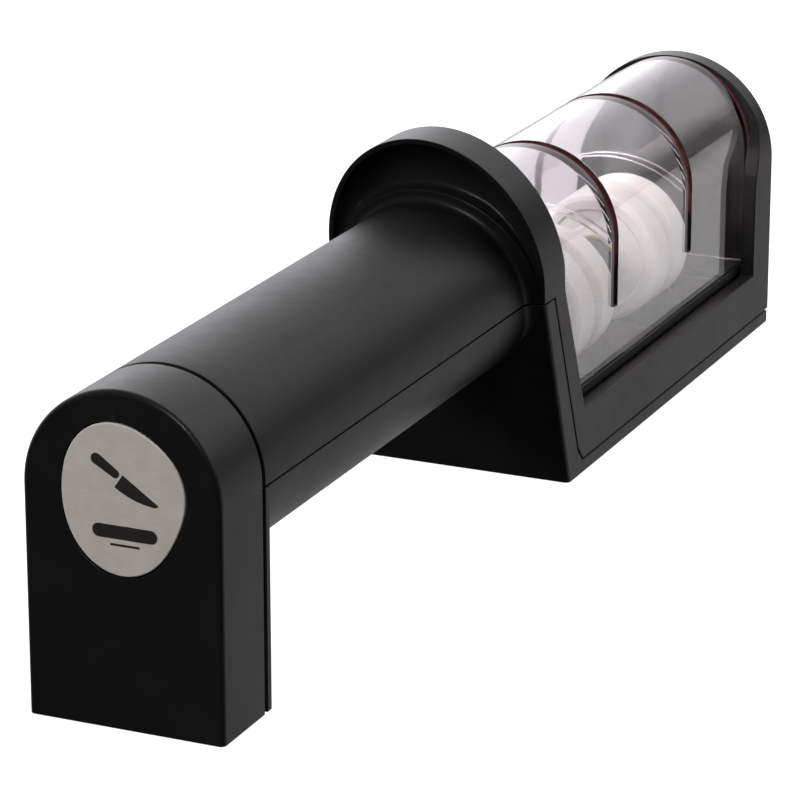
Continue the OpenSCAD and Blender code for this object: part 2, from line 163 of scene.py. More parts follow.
handle_r = 17.5
handle_z = 39.5
split_z = 38.8
seam = 0.3
half_w = lower_high.x / MM
hood_half_w = upper_high.x / MM
hood_top = upper_high.z / MM
hood_arch_z = 43.9
hood_rim = 1.05
front_foot_y = 12.5
front_lean = 0.337
hood_lean = 0.306
back_lean = 0.411
hood_back_lean = 0.3
back_split_y = 9.5
strip_w = 5.0
skirt_z = upper_low.z / MM
skirt_y = 19.6
strip_foot = (17.0, 5.8)
sill_z = 12.5
rail_in = 17.9
y_leg = upper_low.y / MM
y_rear = upper_high.y / MM
y_rear_in = y_rear - 4.7
cheek_y = 115.0
cheek_arc_z = 28.0
cheek_arc_r = 26.0
rear_arch_z = 35.6
split_y = front_foot_y - front_lean * split_z
ring_w = 2.1
dish_depth = 4.0


def front_y(z):
    """The leaning front of the head at height z; the hood leans a little less than the wall below it."""
    if z <= split_z:
        return front_foot_y - front_lean * z
    return split_y - hood_lean * (z - split_z)


def back_y(z):
    """The leaning wall behind the hood, against which the clear cover stands."""
    return back_split_y - (back_lean if z <= split_z else hood_back_lean) * (z - split_z)


def make_mesh(name, points, faces):
    """An object from points in millimetres, with its faces turned outwards."""
    mesh = bpy.data.meshes.new(name)
    mesh.from_pydata([Vector(p) * MM for p in points], [], faces)
    edit = bmesh.new()
    edit.from_mesh(mesh)
    bmesh.ops.remove_doubles(edit, verts=edit.verts, dist=1e-7)
    bmesh.ops.recalc_face_normals(edit, faces=edit.faces)
    edit.to_mesh(mesh)
    edit.free()
    made = bpy.data.objects.new(name, mesh)
    bpy.context.scene.collection.objects.link(made)
    return made


def prism(name, outline, axis, low, high):
    """A closed solid: an outline drawn in the two other axes, drawn out along one axis."""
    def at(p, along):
        return {"x": (along, p[0], p[1]), "y": (p[0], along, p[1]), "z": (p[0], p[1], along)}[axis]
    count = len(outline)
    points = [at(p, low) for p in outline] + [at(p, high) for p in outline]
    sides = [(i, (i + 1) % count, count + (i + 1) % count, count + i) for i in range(count)]
    ends = [tuple(range(count)), tuple(range(2 * count - 1, count - 1, -1))]
    return make_mesh(name, points, sides + ends)


def box(name, low, high):
    """A block between two corners."""
    return prism(name, [(low[0], low[1]), (high[0], low[1]), (high[0], high[1]), (low[0], high[1])],
                 "z", low[2], high[2])


def arc(centre, radius, start, end, steps):
    """Points along a circle's arc, its angles in degrees."""
    turns = [math.radians(start + (end - start) * i / steps) for i in range(steps + 1)]
    return [(centre[0] + radius * math.cos(t), centre[1] + radius * math.sin(t)) for t in turns]


def tombstone(radius, arch_z, low_z, steps=72):
    """The round-topped outline of the foot, the cover and the rear wall."""
    return arc((0, arch_z), radius, 0, 180, steps) + [(-radius, low_z), (radius, low_z)]


def hood_outline(inset):
    """Straight sides and a tall round top, set in from the hood's edge."""
    wide, high = hood_half_w - inset, hood_top - hood_arch_z - inset
    turns = [math.pi * i / 96 for i in range(97)]
    top = [(wide * math.cos(t), hood_arch_z + high * math.sin(t)) for t in turns]
    side = half_w - inset
    return [(side, -5), (side, split_z)] + top + [(-side, split_z), (-side, -5)]


def combine(body, tool, how):
    """Joins, cuts or trims body with tool, which is used up."""
    step = body.modifiers.new(how, "BOOLEAN")
    step.operation = how
    step.solver = "EXACT"
    step.object = tool
    graph = bpy.context.evaluated_depsgraph_get()
    result = bpy.data.meshes.new_from_object(body.evaluated_get(graph))
    body.modifiers.clear()
    body.data = result
    bpy.data.objects.remove(tool)
    return body


def soften(body, width, angle=32.0, segments=3):
    """Rounds the edges as the mould does, and shades the faces smoothly up to them."""
    for face in body.data.polygons:
        face.use_smooth = True
    bevel = body.modifiers.new("edges", "BEVEL")
    bevel.width = width * MM
    bevel.segments = segments
    bevel.limit_method = "ANGLE"
    bevel.angle_limit = math.radians(angle)
    bevel.use_clamp_overlap = False
    bevel.harden_normals = True
    normals = body.modifiers.new("normals", "WEIGHTED_NORMAL")
    normals.keep_sharp = True
    return body


def merge(name, parts):
    """One object from several, with their modifiers applied."""
    graph = bpy.context.evaluated_depsgraph_get()
    meshes = [bpy.data.meshes.new_from_object(part.evaluated_get(graph)) for part in parts]
    for part, mesh in zip(parts, meshes):
        part.modifiers.clear()
        part.data = mesh
    with bpy.context.temp_override(active_object=parts[0], selected_editable_objects=parts, object=parts[0]):
        bpy.ops.object.join()
    parts[0].name = name
    parts[0].data.name = name
    return parts[0]


def half_handle(name, height, upwards, profile):
    """Half of the handle with what flares out of it: a closed profile of (radius, y) is swept round
    the handle's axis, from the seam at the given height, over or under, to the seam on the other side."""
    steps = 72
    rings = []
    for i in range(steps + 1):
        share = i / steps
        guess = math.pi * share if upwards else -math.pi * share
        ring = []
        for radius, y in profile(guess):
            tilt = math.asin((height - handle_z) / radius)
            if upwards:
                turn = tilt + share * (math.pi - 2 * tilt)
            else:
                turn = tilt - share * (math.pi + 2 * tilt)
            ring.append((radius * math.cos(turn), y, handle_z + radius * math.sin(turn)))
        rings.append(ring)
    count = len(rings[0])
    points = [p for ring in rings for p in ring]
    faces = []
    for r in range(steps):
        for j in range(count):
            a, b = r * count + j, r * count + (j + 1) % count
            faces.append((a, b, b + count, a + count))
    faces += [tuple(range(count)), tuple(range(len(points) - 1, len(points) - count - 1, -1))]
    return make_mesh(name, points, faces)


def rim_radius(turn, inset):
    """How far the hood's outline is from the handle's axis in the direction turn."""
    wide, high = hood_half_w - inset, hood_top - hood_arch_z - inset
    lift = hood_arch_z - handle_z
    a = (math.cos(turn) / wide) ** 2 + (math.sin(turn) / high) ** 2
    b = -2 * math.sin(turn) * lift / high ** 2
    c = (lift / high) ** 2 - 1
    return (-b + math.sqrt(b * b - 4 * a * c)) / (2 * a)


def hood_profile(turn):
    """The handle's skin, the fillet at its end, the finger dish and the way back inside the wall."""
    def leaning(radius, depth):
        return (radius, front_y(handle_z + radius * math.sin(turn)) + depth)
    crest = handle_r + ring_w
    rim = max(rim_radius(turn, hood_rim), crest + 0.05) + 0.02
    width = rim - crest
    depth = dish_depth * min(1.0, width / 7.0)
    points = [(handle_r - 0.15, y_leg), (handle_r, y_leg + 0.15)]
    start = leaning(handle_r, -ring_w)[1]
    points += [(handle_r, y_leg + 0.15 + (start - y_leg - 0.15) * i / 24) for i in range(1, 24)]
    for i in range(9):
        bend = math.radians(90 * i / 8)
        points.append(leaning(crest - ring_w * math.cos(bend), -ring_w * (1 - math.sin(bend))))
    lip = min(0.45, 0.2 * width)
    for bend in (18, 36, 54, 72):
        turned = math.radians(bend)
        points.append(leaning(crest + lip * math.sin(turned), lip * (1 - math.cos(turned))))
    crest, width, sunk = crest + lip, width - lip, 0.7 * lip
    for i in range(1, 25):
        share = (i / 24) ** 1.6
        bowl = (share ** 0.2 * (1 - share) ** 0.3) / 0.7143
        below_rim = sunk * (1 - share) + (depth - sunk) * bowl + 0.1 * share
        points.append(leaning(crest + width * share, below_rim))
    return points + [leaning(rim, 5.0), leaning(handle_r - 2.4, 5.0), (handle_r - 2.4, y_leg)]


def node(tree, kind, **settings):
    """A shader node; settings that start with in_ are its inputs."""
    made = tree.nodes.new(kind)
    for key, value in settings.items():
        if key.startswith("in_"):
            made.inputs[key[3:].replace("_", " ")].default_value = value
        else:
            setattr(made, key, value)
    return made


def new_material(name):
    """A node material and its Principled shader."""
    made = bpy.data.materials.new(name)
    made.use_nodes = True
    return made, made.node_tree, made.node_tree.nodes["Principled BSDF"]


def noise(tree, size, detail=2.0, rough=0.5, stretch=None):
    """A noise pattern whose clumps are about size millimetres across, stretched if wanted."""
    coords = node(tree, "ShaderNodeTexCoord")
    pattern = node(tree, "ShaderNodeTexNoise", in_Scale=1 / (size * MM), in_Detail=detail, in_Roughness=rough)
    if stretch is None:
        tree.links.new(coords.outputs["Object"], pattern.inputs["Vector"])
    else:
        mapping = node(tree, "ShaderNodeMapping", in_Scale=stretch)
        tree.links.new(coords.outputs["Object"], mapping.inputs["Vector"])
        tree.links.new(mapping.outputs["Vector"], pattern.inputs["Vector"])
    return pattern.outputs["Fac"]


def ranged(tree, source, low, high, low_value, high_value):
    """Maps a pattern's low..high onto two values."""
    made = node(tree, "ShaderNodeMapRange")
    for key, value in (("From Min", low), ("From Max", high), ("To Min", low_value), ("To Max", high_value)):
        made.inputs[key].default_value = value
    tree.links.new(source, made.inputs["Value"])
    return made.outputs["Result"]


def added(tree, first, second):
    """The sum of two values."""
    made = node(tree, "ShaderNodeMath", operation="ADD")
    tree.links.new(first, made.inputs[0])
    tree.links.new(second, made.inputs[1])
    return made.outputs[0]


def blended(tree, share, first, second):
    """A colour between first and second, each a colour or a socket."""
    made = node(tree, "ShaderNodeMix", data_type="RGBA")
    tree.links.new(share, made.inputs["Factor"])
    for key, value in (("A", first), ("B", second)):
        if isinstance(value, tuple):
            made.inputs[key].default_value = value + (1,)
        else:
            tree.links.new(value, made.inputs[key])
    return made.outputs["Result"]


def bumped(tree, shader, height, depth):
    """Raises the surface by a pattern, depth millimetres high."""
    bump = node(tree, "ShaderNodeBump", in_Strength=1.0, in_Distance=depth * MM)
    tree.links.new(height, bump.inputs["Height"])
    tree.links.new(bump.outputs["Normal"], shader.inputs["Normal"])


def worn(tree, low=0.53, high=0.62):
    """Where the surface is convex, and so rubbed by hands and cloths, broken up by a noise."""
    shape = node(tree, "ShaderNodeNewGeometry")
    edge = ranged(tree, shape.outputs["Pointiness"], low, high, 0.0, 1.0)
    patchy = node(tree, "ShaderNodeMath", operation="MULTIPLY")
    tree.links.new(edge, patchy.inputs[0])
    tree.links.new(ranged(tree, noise(tree, 1.8, 4.0, 0.65), 0.35, 0.65, 0.15, 0.8), patchy.inputs[1])
    return patchy.outputs[0]


def moulded_plastic(name, dark, light, grain_size, grain_depth, roughness):
    """Moulded plastic: an eroded grain, faint flow clouds in colour and gloss, paler rubbed edges."""
    made, tree, shader = new_material(name)
    clouds = noise(tree, 16, 3.0)
    colour = blended(tree, ranged(tree, clouds, 0.35, 0.7, 0.0, 1.0), dark, light)
    rubbed = worn(tree)
    paler = tuple(min(1.0, c * 2.2 + 0.006) for c in light)
    tree.links.new(blended(tree, rubbed, colour, paler), shader.inputs["Base Color"])
    gloss = ranged(tree, clouds, 0.3, 0.7, roughness - 0.03, roughness + 0.03)
    marks = ranged(tree, noise(tree, 2.4, 5.0, 0.7), 0.45, 0.75, 0.0, 0.05)
    tree.links.new(added(tree, gloss, marks), shader.inputs["Roughness"])
    bumped(tree, shader, noise(tree, grain_size, 2.0, 0.6), grain_depth)
    shader.inputs["IOR"].default_value = 1.47
    return made


def coat(part, material):
    """Gives a part its finish before it is joined to others."""
    part.data.materials.clear()
    part.data.materials.append(material)
    return part


def dress(piece, body, slot, *nodes):
    """Puts a piece on its body, in place of the CAD nodes it stands for; the slot argument is not used."""
    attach(piece, body)
    if nodes:
        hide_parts(*nodes)
    return piece


BLACK = (0.0065, 0.0062, 0.0066)
BLACK_LIGHT = (0.0098, 0.0092, 0.0097)
grained_black = moulded_plastic("grained_black", BLACK, BLACK_LIGHT, 0.4, 0.024, 0.38)
satin_black = moulded_plastic("satin_black", BLACK, BLACK_LIGHT, 0.2, 0.005, 0.34)

collar = prism("collar", [
    (front_y(split_z), split_z), (front_y(80), 80), (back_y(80), 80), (back_y(split_z), split_z),
    (back_y(skirt_z), skirt_z), (skirt_y, skirt_z), strip_foot, (split_y + strip_w, split_z)], "x", -30, 30)
combine(collar, prism("hood_edge", hood_outline(0), "y", -30, 40), "INTERSECT")
for side in (-1, 1):
    low, high = sorted((side * rail_in, side * half_w))
    combine(collar, prism("rail", [
        (skirt_y, skirt_z), (back_y(sill_z) - 1, sill_z), (y_rear - 1, sill_z), (y_rear - 1, skirt_z)],
        "x", low, high), "UNION")
combine(collar, prism("rear_wall", tombstone(half_w, rear_arch_z, skirt_z), "y", y_rear_in, y_rear), "UNION")
for side in (-1, 1):
    low, high = sorted((side * rail_in, side * 30))
    cheek = prism("cheek", tombstone(half_w, rear_arch_z, skirt_z), "y", cheek_y, y_rear_in + 1)
    combine(cheek, box("cheek_side", (low, 100, 0), (high, 130, 80)), "INTERSECT")
    swept = arc((cheek_y + cheek_arc_r, cheek_arc_z), cheek_arc_r, 180, 135, 15)
    side_view = [(130, 0), (cheek_y, 0)] + swept + [(130, 50)]
    combine(cheek, prism("cheek_edge", side_view, "x", -30, 30), "INTERSECT")
    combine(collar, cheek, "UNION")
pocket = prism("pocket", hood_outline(hood_rim), "y", -30, 40)
combine(pocket, prism("pocket_reach", [
    (front_y(split_z + 0.6) - 8, split_z + 0.6), (front_y(80) - 8, 80), (front_y(80) + 5.4, 80),
    (front_y(split_z + 0.6) + 5.4, split_z + 0.6)], "x", -30, 30), "INTERSECT")
combine(collar, pocket, "DIFFERENCE")
coat(soften(collar, 0.2), satin_black)
handle_top = half_handle("handle_top", split_z, True, hood_profile)
coat(soften(handle_top, 0.12, angle=50, segments=2), grained_black)
upper_shell = merge("upper_shell_moulding", [collar, handle_top])
dress(upper_shell, "housing", "shell", "upper_shell")

# ---------------------------------------------------------------------------------------------
# Lower shell. The matching black ABS moulding below the seam: the leg plate, the handle's bottom
# half, the forward-leaning wall and strip, the floor and the thin skirt, screwed up from below.
# ---------------------------------------------------------------------------------------------
leg_t = 1.6
floor_low = lower_low.z / MM
floor_top = skirt_z - seam
skirt_rear = lower_high.y / MM
seam_low = split_z - seam
shell_screws_at = [(-13, 17.5), (13, 17.5), (-13, 116), (13, 116)]
handle_screw_y = -92.0
pads_at = [(30.0, 40.0), (102.0, 112.0)]
pad_half_w = 14.0


def lathe(name, profile, place, direction=(0, 0, 1), steps=64):
    """A closed profile of (radius, along) turned round an axis that starts at place."""
    turn = Vector((0, 0, 1)).rotation_difference(Vector(direction)).to_matrix()
    count = len(profile)
    points = []
    for i in range(steps):
        angle = 2 * math.pi * i / steps
        for radius, along in profile:
            point = Vector((radius * math.cos(angle), radius * math.sin(angle), along))
            points.append(turn @ point + Vector(place))
    faces = []
    for i in range(steps):
        for j in range(count):
            a, b = i * count + j, i * count + (j + 1) % count
            c, d = ((i + 1) % steps) * count + (j + 1) % count, ((i + 1) % steps) * count + j
            faces.append((a, b, c, d))
    made = make_mesh(name, points, faces)
    edit = bmesh.new()
    edit.from_mesh(made.data)
    bmesh.ops.dissolve_degenerate(edit, dist=1e-8, edges=edit.edges)
    bmesh.ops.recalc_face_normals(edit, faces=edit.faces)
    edit.to_mesh(made.data)
    edit.free()
    return made


def wall_profile(turn):
    """The handle's skin below the seam; the fillet at its end fades out down the leaning wall."""
    below = min(1.0, max(0.0, -math.sin(turn) / 0.55))
    ring = max(0.06, ring_w * (1 - below * below * (3 - 2 * below)))

    def leaning(radius, depth):
        return (radius, front_y(handle_z + radius * math.sin(turn)) + depth)
    points = [(handle_r - 0.15, y_leg), (handle_r, y_leg + 0.15)]
    start = leaning(handle_r, -ring)[1]
    points += [(handle_r, y_leg + 0.15 + (start - y_leg - 0.15) * i / 24) for i in range(1, 24)]
    for i in range(9):
        bend = math.radians(90 * i / 8)
        points.append(leaning(handle_r + ring - ring * math.cos(bend), -ring * (1 - math.sin(bend)) + 0.02))
    return points + [leaning(handle_r + ring, 1.8), leaning(handle_r - 2.4, 1.8), (handle_r - 2.4, y_leg)]


block = prism("block", [
    (front_y(floor_low), floor_low), (split_y, seam_low), (split_y + strip_w - seam, seam_low),
    (strip_foot[0] - seam, strip_foot[1] - seam), (skirt_y - seam, floor_top), (skirt_rear, floor_top),
    (skirt_rear, floor_low)], "x", -half_w, half_w)
edit = bmesh.new()
edit.from_mesh(block.data)
corners = [e for e in edit.edges if all(
    abs(abs(v.co.x) - half_w * MM) < 1e-6 and abs(v.co.y - front_y(v.co.z / MM) * MM) < 2e-4 for v in e.verts)
    and abs(e.verts[0].co.z - e.verts[1].co.z) > 0.02]
bmesh.ops.bevel(edit, geom=corners, offset=1.1 * MM, segments=6, profile=0.5, affect="EDGES")
edit.to_mesh(block.data)
edit.free()
combine(block, prism("open_back", [
    (front_y(floor_top) + 2.4, floor_top), (front_y(split_z) + 2.4, split_z), (60, split_z), (60, floor_top)],
    "x", 2.2 - half_w, half_w - 2.2), "DIFFERENCE")
for x, y in shell_screws_at:
    counterbore = lathe("counterbore", [(0, -1), (3.0, -1), (3.0, 1.85), (0, 1.85)], (x, y, floor_low))
    combine(block, counterbore, "DIFFERENCE")
for low, high in pads_at:
    combine(block, box("pad_bed", (-pad_half_w, low, -1), (pad_half_w, high, 1.4)), "DIFFERENCE")
coat(soften(block, 0.18), satin_black)
handle_low = half_handle("handle_low", seam_low, False, wall_profile)
combine(handle_low, lathe("handle_counterbore", [(0, 0), (3.1, 0), (3.1, 8.9), (0, 8.9)],
                          (0, handle_screw_y, 15)), "DIFFERENCE")
coat(soften(handle_low, 0.12, angle=50, segments=2), grained_black)
handle_boss = lathe("handle_boss", [(1.7, 23.6), (3.9, 23.6), (3.9, seam_low - 0.4), (1.7, seam_low - 0.4)],
                    (0, handle_screw_y, 0))
coat(soften(handle_boss, 0.1), grained_black)
leg = prism("leg", [
    (handle_r, floor_low), (handle_r, seam_low), (-handle_r, seam_low), (-handle_r, floor_low)],
    "y", y_leg, y_leg + leg_t)
coat(soften(leg, 0.25), satin_black)
lower_shell = merge("lower_shell_moulding", [block, handle_low, handle_boss, leg])
dress(lower_shell, "housing", "shell", "lower_shell")

# ---------------------------------------------------------------------------------------------
# Foot cap. A round-topped satin black moulding that closes the handle's end and is the front leg.
# Its front edge is rounded, a pocket in its face takes the badge, and two screws hold it.
# ---------------------------------------------------------------------------------------------
y_foot = cap_low.y / MM
y_cap = cap_high.y / MM
cap_edge_r = 0.95


def badge_outline(grow):
    """An egg with a blunt point on its right, in x and z."""
    outline = []
    for i in range(144):
        t = 2 * math.pi * i / 144
        r = 11.7 + grow - 0.88 * math.cos(2 * t)
        r += 0.35 * math.cos(3 * t - math.radians(45)) + 0.16 * math.cos(4 * t - math.radians(65))
        outline.append((0.1 + r * math.cos(t), 39.15 + r * math.sin(t)))
    return outline


cap_rings = []
for step in range(11):
    bend = math.radians(9 * step)
    cap_rings.append((cap_edge_r * (1 - math.sin(bend)), y_foot + cap_edge_r * (1 - math.cos(bend))))
cap_rings += [(0.0, y_foot + 6), (0.0, y_cap - 0.35), (0.1, y_cap - 0.1), (0.35, y_cap)]
points = []
for inset, y in cap_rings:
    points += [(x, y, z) for x, z in tombstone(handle_r - inset, handle_z, floor_low)]
count = len(points) // len(cap_rings)
faces = [tuple(range(count)), tuple(range(len(points) - 1, len(points) - count - 1, -1))]
for ring in range(len(cap_rings) - 1):
    for i in range(count):
        a, b = ring * count + i, ring * count + (i + 1) % count
        faces.append((a, b, b + count, a + count))
foot_cap = make_mesh("foot_cap_moulding", points, faces)
combine(foot_cap, prism("badge_pocket", badge_outline(0.22), "y", y_foot - 1, y_foot + 1.25), "DIFFERENCE")
combine(foot_cap, box("foot_pad_bed", (-12, -121, -1), (12, -114, 1.4)), "DIFFERENCE")
coat(soften(foot_cap, 0.14, angle=48), satin_black)
dress(foot_cap, "housing", "shell", "foot_cap")

# ---------------------------------------------------------------------------------------------
# Badge. An egg-shaped disc of brushed stainless steel, 0.9 mm thick, bonded flush into the foot
# cap with black foam tape. It carries a plain etched sign for its use: a blade over a stone.
# ---------------------------------------------------------------------------------------------
badge_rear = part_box("badge")[1].y / MM


def metal(name, colour, roughness, brush, brush_depth, anisotropy=0.0):
    """Bright metal with fine lines along one axis, handling marks and brighter edges."""
    made, tree, shader = new_material(name)
    lines = noise(tree, 0.5, 3.0, 0.6, brush)
    marks = noise(tree, 5.0, 4.0, 0.6)
    darker = tuple(c * 0.8 for c in colour)
    base = blended(tree, ranged(tree, added(tree, lines, marks), 0.7, 1.3, 0.0, 1.0), darker, colour)
    bright = tuple(min(1.0, c * 1.25) for c in colour)
    tree.links.new(blended(tree, worn(tree), base, bright), shader.inputs["Base Color"])
    shader.inputs["Metallic"].default_value = 1.0
    shader.inputs["Anisotropic"].default_value = anisotropy
    tree.links.new(added(tree, ranged(tree, lines, 0.3, 0.7, roughness - 0.05, roughness + 0.06),
                         ranged(tree, marks, 0.4, 0.7, 0.0, 0.05)), shader.inputs["Roughness"])
    bumped(tree, shader, lines, brush_depth)
    return made


badge_steel = metal("badge_steel", (0.78, 0.72, 0.655), 0.42, (0.12, 1.0, 6.0), 0.004, 0.4)
badge_steel.node_tree.nodes["Principled BSDF"].inputs["Metallic"].default_value = 0.3
badge = prism("badge_plate", badge_outline(0), "y", y_foot + 0.03, badge_rear)
coat(soften(badge, 0.28, angle=40), badge_steel)
dress(badge, "housing", "badge_steel", "badge")

etched, tree, shader = new_material("badge_etching")
blotches = noise(tree, 0.6, 4.0, 0.6)
ink = blended(tree, blotches, (0.012, 0.011, 0.011), (0.03, 0.028, 0.026))
tree.links.new(ink, shader.inputs["Base Color"])
tree.links.new(ranged(tree, blotches, 0.3, 0.7, 0.5, 0.65), shader.inputs["Roughness"])
bumped(tree, shader, blotches, 0.004)


def etching(name, outline, place, tilt):
    """A shallow etched shape: an outline in x and z, tilted in degrees and moved to its place."""
    turn = math.radians(tilt)
    shape = [(place[0] + x * math.cos(turn) - z * math.sin(turn),
              place[1] + x * math.sin(turn) + z * math.cos(turn)) for x, z in outline]
    return prism(name, shape, "y", y_foot, y_foot + 0.25)


edge = [(5.9 - 7.3 * i / 12, -1.55 + 1.9 * (1 - i / 12) ** 2.2) for i in range(13)]
grip = arc((-6.4, 0.25), 0.95, 90, 270, 10) + arc((-2.5, 0.35), 0.75, -90, 90, 10)
stone = arc((-4.6, 0), 1.15, 90, 270, 12) + arc((4.6, 0), 1.15, -90, 90, 12)
knife_at = (1.0, 41.6)
knife_tilt = -34
mark = [
    etching("mark_blade", [(-1.4, 1.05), (6.3, 1.0)] + edge, knife_at, knife_tilt),
    etching("mark_grip", grip, knife_at, knife_tilt),
    etching("mark_stone", stone, (0.6, 33.6), 0),
    etching("mark_base", [(-2.6, -0.2), (2.6, -0.2), (2.6, 0.2), (-2.6, 0.2)], (0.6, 31.5), 0)]
for part in mark:
    coat(soften(part, 0.02, segments=1), etched)
dress(merge("badge_mark", mark), "housing", "badge_steel")

foam_tape = moulded_plastic("foam_tape", (0.01, 0.01, 0.01), (0.02, 0.02, 0.02), 0.25, 0.03, 0.8)
tape = prism("badge_tape", badge_outline(-1.0), "y", y_foot + 0.9, y_foot + 1.2)
coat(soften(tape, 0.05), foam_tape)
dress(tape, "housing", "foam_tape", "badge_adhesive")

# ---------------------------------------------------------------------------------------------
# Wheel cassette. A dark glass-filled nylon tub that catches the grindings, screwed to the lower
# shell's floor. Three posts stand in it and carry the axle; a flange locates the cover's seal.
# ---------------------------------------------------------------------------------------------
axle_z = 24.5
coarse_y = 43.6
fine_y = 84.3
post_ys = (27.5, (coarse_y + fine_y) / 2, 100.5)
tub_half_w = 15.2
tub_low_y, tub_high_y = 25.0, 108.0
tub_top = 13.6
cassette_screws_at = [(-8, 34), (8, 34), (-8, 94), (8, 94)]

tub = box("tub", (-tub_half_w, tub_low_y, floor_top), (tub_half_w, tub_high_y, tub_top))
combine(tub, box("flange", (-17.3, tub_low_y - 1, 8.4), (17.3, y_rear_in - 0.6, 9.5)), "UNION")
combine(tub, box("tub_space", (1.6 - tub_half_w, tub_low_y + 1.6, floor_top + 1.6),
                 (tub_half_w - 1.6, tub_high_y - 1.6, 30)), "DIFFERENCE")
for y in post_ys:
    post = arc((0, axle_z), 6, 0, 180, 36) + [(-6, floor_top + 0.5), (6, floor_top + 0.5)]
    combine(tub, prism("post", post, "y", y - 1.5, y + 1.5), "UNION")
    for side in (-1, 1):
        low, high = sorted((side * 5.9, side * 9.5))
        gusset = [(low, floor_top + 1.0), (high, floor_top + 1.0), (side * 5.9, 17.0)]
        combine(tub, prism("gusset", gusset, "y", y - 0.8, y + 0.8), "UNION")
axle_bore = lathe("axle_bore", [(0, 0), (2.52, 0), (2.52, 130), (0, 130)], (0, 0, axle_z), (0, 1, 0))
combine(tub, axle_bore, "DIFFERENCE")
nylon = moulded_plastic("cassette_nylon", (0.011, 0.011, 0.012), (0.02, 0.02, 0.022), 0.3, 0.01, 0.42)
coat(soften(tub, 0.25), nylon)
tub.name = "wheel_cassette_moulding"
dress(tub, "housing", "cassette_plastic", "wheel_cassette")

# ---------------------------------------------------------------------------------------------
# Wheels. Fine-grained white ceramic drums, two under each slot. Steep cones face each other and
# hone the edge; the outer faces have a sunk ring. A turned brass bush is pressed into each one.
# ---------------------------------------------------------------------------------------------
wheel_r = 13.0
cone_rise = 4.8 * math.tan(math.radians(20))
pair_half_l = 9.2
bush_r = 4.0
axle_r = 2.5


def ceramic(name, colour, speck, grain):
    """Bonded ceramic: fine open grain, faint grey specks and a trace of steel where blades rub."""
    made, tree, shader = new_material(name)
    fine = noise(tree, grain, 4.0, 0.7)
    stain = noise(tree, 4.5, 4.0, 0.6)
    base = blended(tree, ranged(tree, fine, 0.42, 0.62, 0.0, 1.0), speck, colour)
    rubbed = tuple(c * 0.86 for c in colour)
    stained = blended(tree, ranged(tree, stain, 0.52, 0.72, 0.0, 0.6), base, rubbed)
    edged = blended(tree, worn(tree, 0.54, 0.66), stained, (0.95, 0.94, 0.92))
    tree.links.new(edged, shader.inputs["Base Color"])
    tree.links.new(ranged(tree, fine, 0.3, 0.7, 0.5, 0.68), shader.inputs["Roughness"])
    shader.inputs["Subsurface Weight"].default_value = 0.12
    shader.inputs["Subsurface Radius"].default_value = (0.001, 0.0009, 0.0008)
    bumped(tree, shader, fine, 0.02)
    return made


# The coarse pair's colour and specks are darker than the fine pair's: partly the coarse grade's own greyer
# tone, partly painted shade for the dimmer light that reaches the front pair under the hood.
coarse_ceramic_painted_shade = ceramic("coarse_ceramic_painted_shade", (0.76, 0.735, 0.7), (0.58, 0.555, 0.53), 0.34)
fine_ceramic = ceramic("fine_ceramic", (0.88, 0.86, 0.83), (0.78, 0.76, 0.73), 0.18)
turned_brass = metal("turned_brass", (0.72, 0.54, 0.27), 0.28, (1.0, 9.0, 1.0), 0.002)
wheel_profile = [
    (bush_r, 0.45), (bush_r + 0.3, 0.4), (wheel_r - 4.9, 0.4), (wheel_r - 4.6, 0.48),
    (wheel_r - 0.25, 0.35 + cone_rise), (wheel_r, 0.6 + cone_rise), (wheel_r, pair_half_l - 1.3),
    (wheel_r - 0.35, pair_half_l - 0.45), (wheel_r - 1.2, pair_half_l), (wheel_r - 3.0, pair_half_l),
    (wheel_r - 3.4, pair_half_l - 0.75), (bush_r + 2.5, pair_half_l - 0.75), (bush_r + 2.0, pair_half_l),
    (bush_r + 0.25, pair_half_l), (bush_r, pair_half_l - 0.2)]
bush_profile = [
    (axle_r + 0.06, 0.35), (axle_r + 0.25, 0.17), (bush_r - 0.2, 0.17), (bush_r, 0.35),
    (bush_r, pair_half_l + 0.15), (bush_r - 0.15, pair_half_l + 0.29), (axle_r + 0.3, pair_half_l + 0.29),
    (axle_r + 0.06, pair_half_l + 0.05)]
for stage, slot_y, finish in (("coarse", coarse_y, coarse_ceramic_painted_shade), ("fine", fine_y, fine_ceramic)):
    for place_name, side in (("front", -1), ("rear", 1)):
        body = stage + "_" + place_name
        wheel = lathe(stage + "_ceramic_" + place_name, wheel_profile, (0, slot_y, axle_z), (0, side, 0), 128)
        coat(soften(wheel, 0.12, angle=20, segments=2), finish)
        dress(wheel, body, "wheel_ceramic", stage + "_wheel_" + place_name)
        bush = lathe(stage + "_brass_" + place_name, bush_profile, (0, slot_y, axle_z), (0, side, 0), 72)
        coat(soften(bush, 0.05, angle=20, segments=2), turned_brass)
        dress(bush, body, "brass", stage + "_bush_" + place_name)

# ---------------------------------------------------------------------------------------------
# Axle set. A ground steel pin through the posts, thrust washers and black spacer tubes that keep
# the wheels under their slots, and a spring clip pressed on each end.
# ---------------------------------------------------------------------------------------------
bright_steel = metal("bright_steel", (0.6, 0.59, 0.58), 0.22, (1.0, 8.0, 1.0), 0.0015)
axle = lathe("axle_pin", [
    (0, 24.0), (2.0, 24.0), (2.45, 24.45), (2.5, 25.3), (2.3, 25.42), (2.3, 25.98), (2.5, 26.1), (2.5, 101.9),
    (2.3, 102.02), (2.3, 102.58), (2.5, 102.7), (2.45, 103.55), (2.0, 104.0), (0, 104.0)],
    (0, 0, axle_z), (0, 1, 0))
coat(soften(axle, 0.04, angle=25, segments=2), bright_steel)
dress(axle, "housing", "steel", "wheel_axle")


def tube(name, y_low, y_high, outer, inner, chamfer):
    """A short tube or washer on the axle."""
    return lathe(name, [
        (inner, y_low), (outer - chamfer, y_low), (outer, y_low + chamfer), (outer, y_high - chamfer),
        (outer - chamfer, y_high), (inner, y_high)], (0, 0, axle_z), (0, 1, 0), 72)


